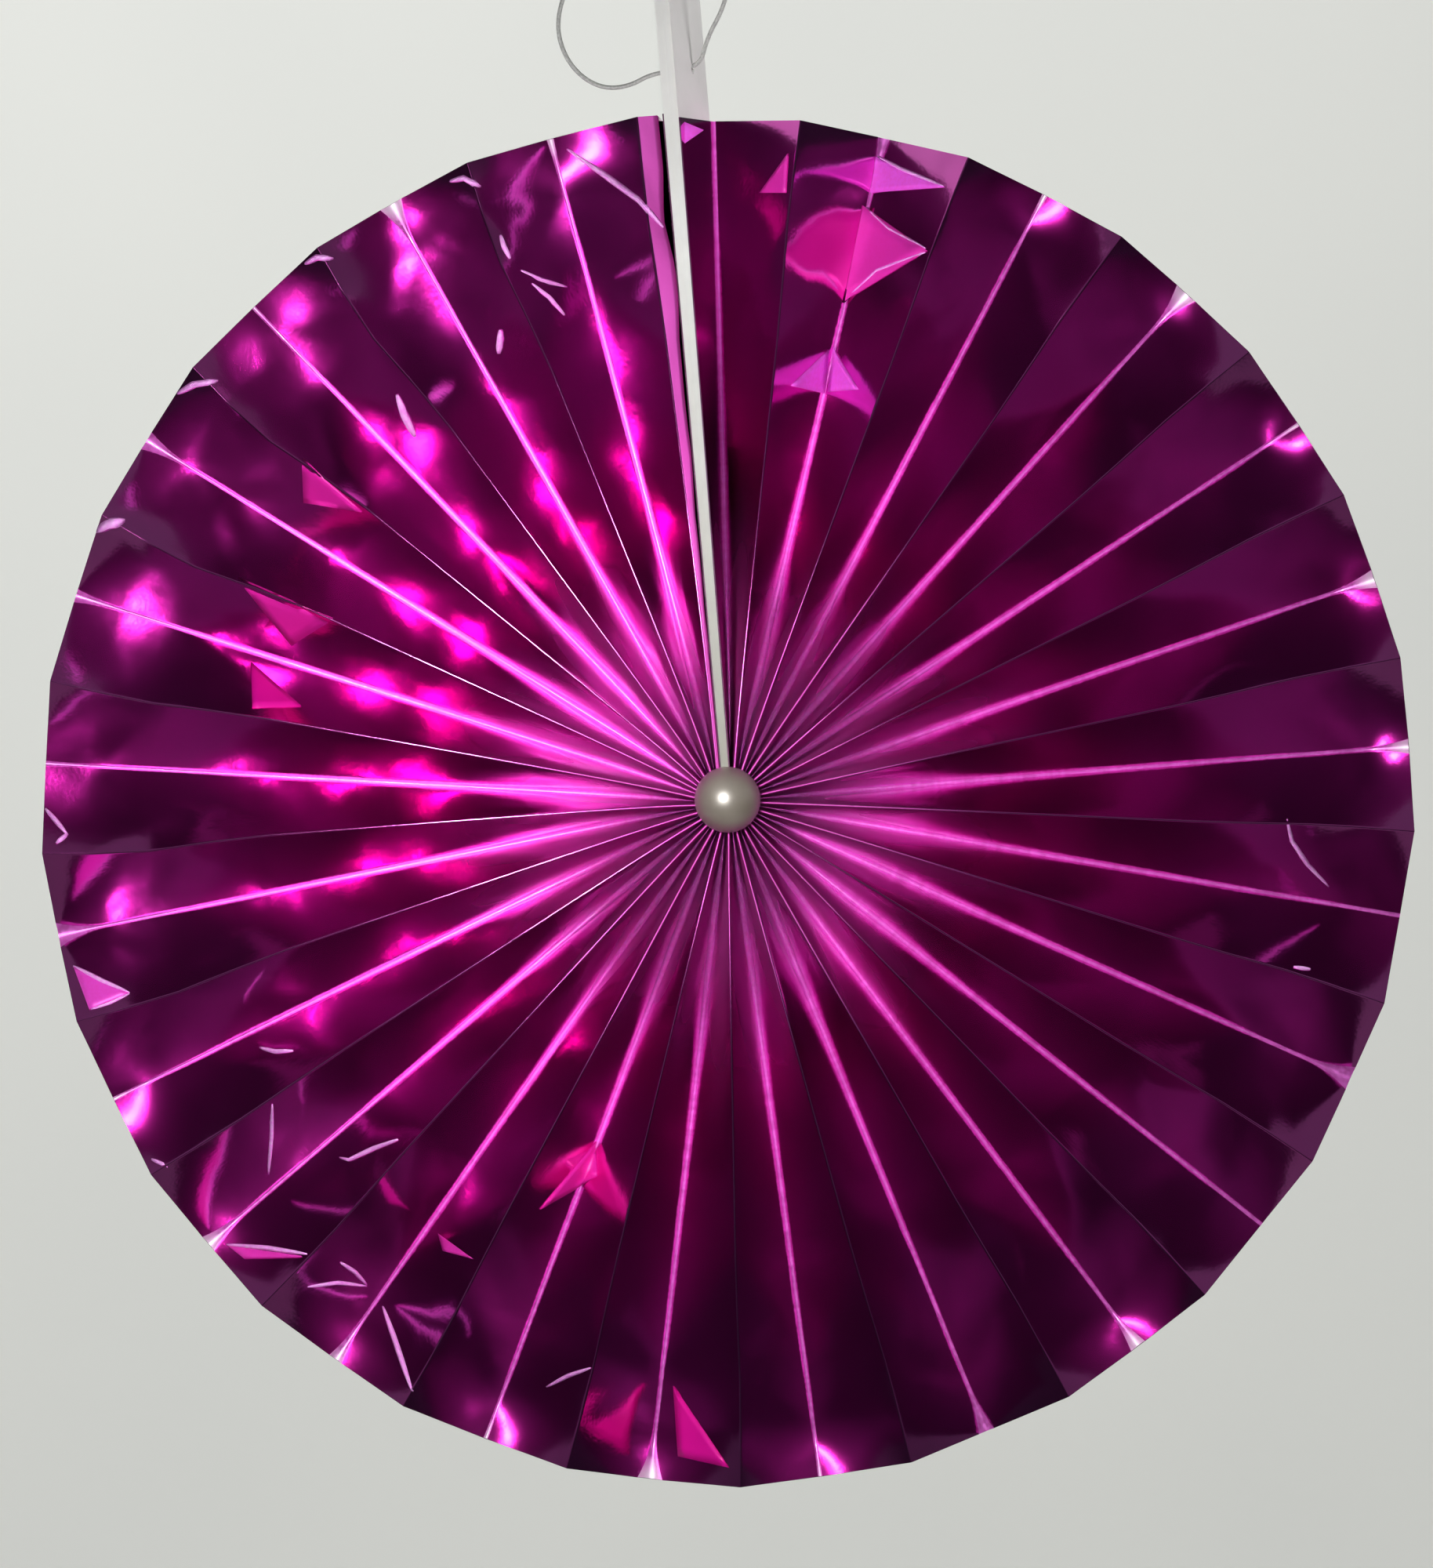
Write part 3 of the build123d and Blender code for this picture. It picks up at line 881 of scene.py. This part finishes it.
def add_bent_corner():
    """The corner of the first panel, bent out of the groove beside the right strip."""
    start = len(crease_points)
    for lift in (-half_corner_thickness, half_corner_thickness):
        for pixel, depth in zip(bent_corner, bent_corner_depths):
            shift = right * (pixel[0] - photo_middle[0]) + up * (photo_middle[1] - pixel[1])
            place = middle + shift * mm_for_a_pixel / 1000
            crease_points.append(place + Vector((0, (depth + lift) / 1000, 0)))
            crease_wear_and_highlight.append(bent_corner_highlight)
    crease_faces.extend([(start, start + 1, start + 2), (start + 5, start + 4, start + 3)])
    for a, b in ((0, 1), (1, 2), (2, 0)):
        crease_faces.append((start + b, start + a, start + 3 + a, start + 3 + b))


print("the bent corner has", len(bent_corner), "corners")


# %% One bright facet as a thin plate of film, painted in highlight colour
facet_lift = 2e-4


def add_painted_highlight_plate(worn, corners, steps=7):
    """A thin closed plate over a triangle, following the film, painted in highlight colour."""
    rows_of_spots = []
    for i in range(steps + 1):
        line = []
        for j in range(steps + 1 - i):
            a, b = i / steps, j / steps
            pixel = [corners[0][k] * (1 - a - b) + corners[1][k] * a + corners[2][k] * b for k in (0, 1)]
            line.append(on_film(pixel))
        rows_of_spots.append(line)
    start = len(crease_points)
    number, spots = {}, []
    for i, line in enumerate(rows_of_spots):
        for j, spot in enumerate(line):
            number[i, j] = len(spots)
            spots.append(spot)
    if any(place is None for place, _ in spots):
        return
    for lift in (film_face + facet_lift, 0):
        crease_points.extend([place + normal * lift for place, normal in spots])
        crease_wear_and_highlight.extend([worn] * len(spots))
    under = start + len(spots)
    for i in range(steps):
        for j in range(steps - i):
            triangles = [(number[i, j], number[i + 1, j], number[i, j + 1])]
            if i + j < steps - 1:
                triangles.append((number[i + 1, j], number[i + 1, j + 1], number[i, j + 1]))
            for a, b, c in triangles:
                crease_faces.append((start + a, start + b, start + c))
                crease_faces.append((under + c, under + b, under + a))
    outline = [number[0, j] for j in range(steps)] + [number[i, steps - i] for i in range(steps)]
    outline += [number[i, 0] for i in range(steps, 0, -1)]
    for a, b in zip(outline, outline[1:] + outline[:1]):
        crease_faces.append((start + a, start + b, under + b, under + a))


for worn, *corners in painted_highlight_facets.values():
    add_painted_highlight_plate(worn, corners)
add_bent_corner()
print("points with the facets and the corner:", len(crease_points))

# %% All creases as one piece, kept inside the rim
inside_the_rim = 0.03
rim_reach = (rosette_radius - inside_the_rim) / 1000
for point in crease_points:
    past_rim = hypot(point[0] - middle.x, point[2] - middle.z) / rim_reach
    if past_rim > 1:
        point[0] = middle.x + (point[0] - middle.x) / past_rim
        point[2] = middle.z + (point[2] - middle.z) / past_rim
crease_mesh = bpy.data.meshes.new("sharp_creases")
crease_mesh.from_pydata(crease_points, [], crease_faces)
crease_mesh.shade_smooth()
crease_wear_layer = crease_mesh.attributes.new("wear_and_painted_highlight", "FLOAT", "POINT")
crease_wear_layer.data.foreach_set("value", np.array(crease_wear_and_highlight, np.float32))
sharp_creases = bpy.data.objects.new("sharp_creases", crease_mesh)
bpy.context.scene.collection.objects.link(sharp_creases)
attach(sharp_creases, "root")
print("faces in the creases:", len(crease_faces))

# %% [markdown]
# ### Finish of the foil
# Metallised film is a coloured mirror. One bounce gives hot pink, two or three between the
# pleats give the dark maroon. Along the valleys the bright layer is rubbed, so those folds are
# paler and rougher, in fine beads, and their glinting tips are painted nearly white, a painted
# highlight. By the gather the film is crinkled, unevenly round the middle, and so is the front
# of the bowed panel. That makes it rougher and less glossy. The creases are the same film,
# pinched, and they and the bright facets hardly mirror: their colour, hot pink to nearly white,
# is painted highlight, on the creases partly rubbed wear as well. The cut edge is dark and dull.

# %% Foil finish
foil, foil_tree, foil_shader = finish_named("magenta_foil", (0.87, 0.14, 0.65), 0.2, 1.0)
foil_shader.inputs["Coat Roughness"].default_value = 0.1
worn = add_node(foil_tree, "ShaderNodeAttribute", {"attribute_name": "wear_and_painted_highlight"}).outputs["Fac"]
beads = noise(foil_tree, 1400, 1.0)
bead_share = remap(foil_tree, beads, 0.35, 0.65, 0.55, 1.0)
worn_node = add_node(foil_tree, "ShaderNodeMath", {"operation": "MULTIPLY"})
foil_tree.links.new(worn, worn_node.inputs[0])
foil_tree.links.new(bead_share, worn_node.inputs[1])
rubbed = worn_node.outputs[0]
cloud = remap(foil_tree, noise(foil_tree, 35, 2.0), 0.3, 0.7, 0, 1)
film = mixed(foil_tree, cloud, (0.84, 0.115, 0.61), (0.90, 0.16, 0.70))
rubbed_film = mixed(foil_tree, rubbed, film, (0.95, 0.22, 0.84))
# Painted highlight: where the wear passes 1, at the glinting tips, the film is painted nearly white.
painted_tip_glint = mixed(foil_tree, remap(foil_tree, worn, 1.0, 1.8, 0, 1), rubbed_film, (1.0, 0.78, 0.98))
foil_tree.links.new(painted_tip_glint, foil_shader.inputs["Base Color"])
crinkled = add_node(foil_tree, "ShaderNodeAttribute", {"attribute_name": "crinkle"}).outputs["Fac"]
foil_tree.links.new(remap(foil_tree, crinkled, 0, 0.6, 0.7, 0.1), foil_shader.inputs["Coat Weight"])
sheen = add_node(foil_tree, "ShaderNodeMath", {"operation": "MAXIMUM"})
foil_tree.links.new(remap(foil_tree, rubbed, 0, 1, 0.15, 0.4), sheen.inputs[0])
foil_tree.links.new(remap(foil_tree, crinkled, 0, 1, 0.15, 0.62), sheen.inputs[1])
foil_tree.links.new(sheen.outputs[0], foil_shader.inputs["Roughness"])
mirror = add_node(foil_tree, "ShaderNodeMath", {"operation": "MINIMUM"})
foil_tree.links.new(remap(foil_tree, rubbed, 0, 1, 1.0, 0.55), mirror.inputs[0])
foil_tree.links.new(remap(foil_tree, crinkled, 0, 0.85, 1.0, 0.92), mirror.inputs[1])
foil_tree.links.new(mirror.outputs[0], foil_shader.inputs["Metallic"])
bumped(foil_tree, foil_shader, noise(foil_tree, 160, 1.0), 0.12, 0.0006)
bumped(foil_tree, foil_shader, noise(foil_tree, 1500, 0.0), 0.15, 0.00006)
dress(pleated_foil, foil)
print("foil finish:", len(foil_tree.nodes), "nodes")

# %% Finish of the creases, with painted highlight, and of the cut edge
creased_film_and_highlight, creased_tree, creased_shader = finish_named("creased_film_and_highlight", (0.9, 0.3, 0.75), 0.4, 0.1)
creased = add_node(creased_tree, "ShaderNodeAttribute", {"attribute_name": "wear_and_painted_highlight"}).outputs["Fac"]
cracks = remap(creased_tree, noise(creased_tree, 1300, 2.0), 0.35, 0.65, 0.82, 1.0)
creased_node = add_node(creased_tree, "ShaderNodeMath", {"operation": "MULTIPLY"})
creased_tree.links.new(creased, creased_node.inputs[0])
creased_tree.links.new(cracks, creased_node.inputs[1])
pinch_and_highlight = creased_node.outputs[0]
half_pinch_and_highlight = remap(creased_tree, pinch_and_highlight, 0, 0.5, 0, 1)
fully_pinch_and_highlight = remap(creased_tree, pinch_and_highlight, 0.5, 1, 0, 1)
# Painted highlight: hot pink to nearly white, partly rubbed wear on the creases as well.
pink_wear_and_highlight = mixed(creased_tree, half_pinch_and_highlight, (0.80, 0.004, 0.34), (0.95, 0.13, 0.92))
pale_wear_and_highlight = mixed(creased_tree, fully_pinch_and_highlight, pink_wear_and_highlight, (1.0, 0.72, 1.0))
creased_tree.links.new(pale_wear_and_highlight, creased_shader.inputs["Base Color"])
bumped(creased_tree, creased_shader, cracks, 0.2, 0.0001)
dress(sharp_creases, creased_film_and_highlight)
cut_edge, cut_tree, cut_shader = finish_named("cut_edge_of_the_film", (0.10, 0.02, 0.07), 0.6)
cut_fibres = remap(cut_tree, noise(cut_tree, 900, 3.0), 0.3, 0.7, 0, 1)
cut_colour = mixed(cut_tree, cut_fibres, (0.07, 0.012, 0.05), (0.16, 0.04, 0.12))
cut_tree.links.new(cut_colour, cut_shader.inputs["Base Color"])
pleated_foil.data.materials.append(cut_edge)
thicken.material_offset_rim = 1
print("finishes on the sheet:", len(pleated_foil.data.materials))

# %% [markdown]
# ## The end strips
# Two flat pale strips, nearly matt. They may be plastic or card, and are finished as plastic.
# Their solids already have the right shape, so they stay and only get a finish: fine drawn
# lines, a little grime, and painted shade towards the gather, where the pleats close in.

# %% Strips
plastic, plastic_tree, plastic_shader = finish_named("pale_plastic", (0.76, 0.74, 0.72), 0.55)
plastic_shader.inputs["Specular IOR Level"].default_value = 0.3
drawn = noise(plastic_tree, 900, 2.0, stretch=(1, 1, 0.03))
bumped(plastic_tree, plastic_shader, drawn, 0.2, 0.0001)
grime = remap(plastic_tree, noise(plastic_tree, 60, 4.0), 0.3, 0.7, 0, 1)
clean_plastic = mixed(plastic_tree, grime, (0.66, 0.65, 0.63), (0.76, 0.75, 0.73))
strip_place = add_node(plastic_tree, "ShaderNodeSeparateXYZ")
plastic_tree.links.new(own_coordinates(plastic_tree), strip_place.inputs[0])
# Painted shade: the strips darken towards the gather, where the pleats close in.
painted_shade_share = remap(plastic_tree, strip_place.outputs["Z"], middle.z, middle.z + 0.1, 1, 0)
plastic_tree.links.new(mixed(plastic_tree, painted_shade_share, clean_plastic, (0.27, 0.26, 0.22)),
                       plastic_shader.inputs["Base Color"])
for name in ("right_strip", "left_strip"):
    dress(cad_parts[name], plastic)
print("strip finish:", plastic.name)

# %% [markdown]
# ## The pearl
# Half a ball of plastic with a pearl lacquer: a soft grey-cream body with a clear coat.

# %% Pearl
nacre, nacre_tree, nacre_shader = finish_named("pearl_lacquer", (0.36, 0.31, 0.25), 0.34, 0.5)
nacre_shader.inputs["Coat Weight"].default_value = 1.0
nacre_shader.inputs["Coat Roughness"].default_value = 0.4
nacre_shader.inputs["Coat IOR"].default_value = 2.6
veil = remap(nacre_tree, noise(nacre_tree, 220, 3.0), 0.3, 0.7, 0, 1)
nacre_colour = mixed(nacre_tree, veil, (0.33, 0.28, 0.22), (0.42, 0.36, 0.30))
nacre_tree.links.new(nacre_colour, nacre_shader.inputs["Base Color"])
dress(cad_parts["pearl_bead"], nacre)
print("pearl finish:", nacre.name)

# %% [markdown]
# ## Threads
# The hanging thread and the gathering thread are the same twisted grey thread.

# %% Thread finish
yarn, yarn_tree, yarn_shader = finish_named("grey_thread", (0.42, 0.42, 0.40), 0.5)
twist = noise(yarn_tree, 2500, 1.0)
bumped(yarn_tree, yarn_shader, twist, 0.5, 0.0001)
yarn_tree.links.new(
    mixed(yarn_tree, remap(yarn_tree, twist, 0.3, 0.7, 0, 1), (0.34, 0.34, 0.33), (0.5, 0.5, 0.48)),
    yarn_shader.inputs["Base Color"],
)
for piece in (loop_of_thread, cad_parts["gather_thread"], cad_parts["thread_knot"]):
    dress(piece, yarn)
print("thread finish:", yarn.name)

# %% View transform and the end
bpy.context.scene.view_settings.view_transform = "Standard"
bpy.context.view_layer.update()
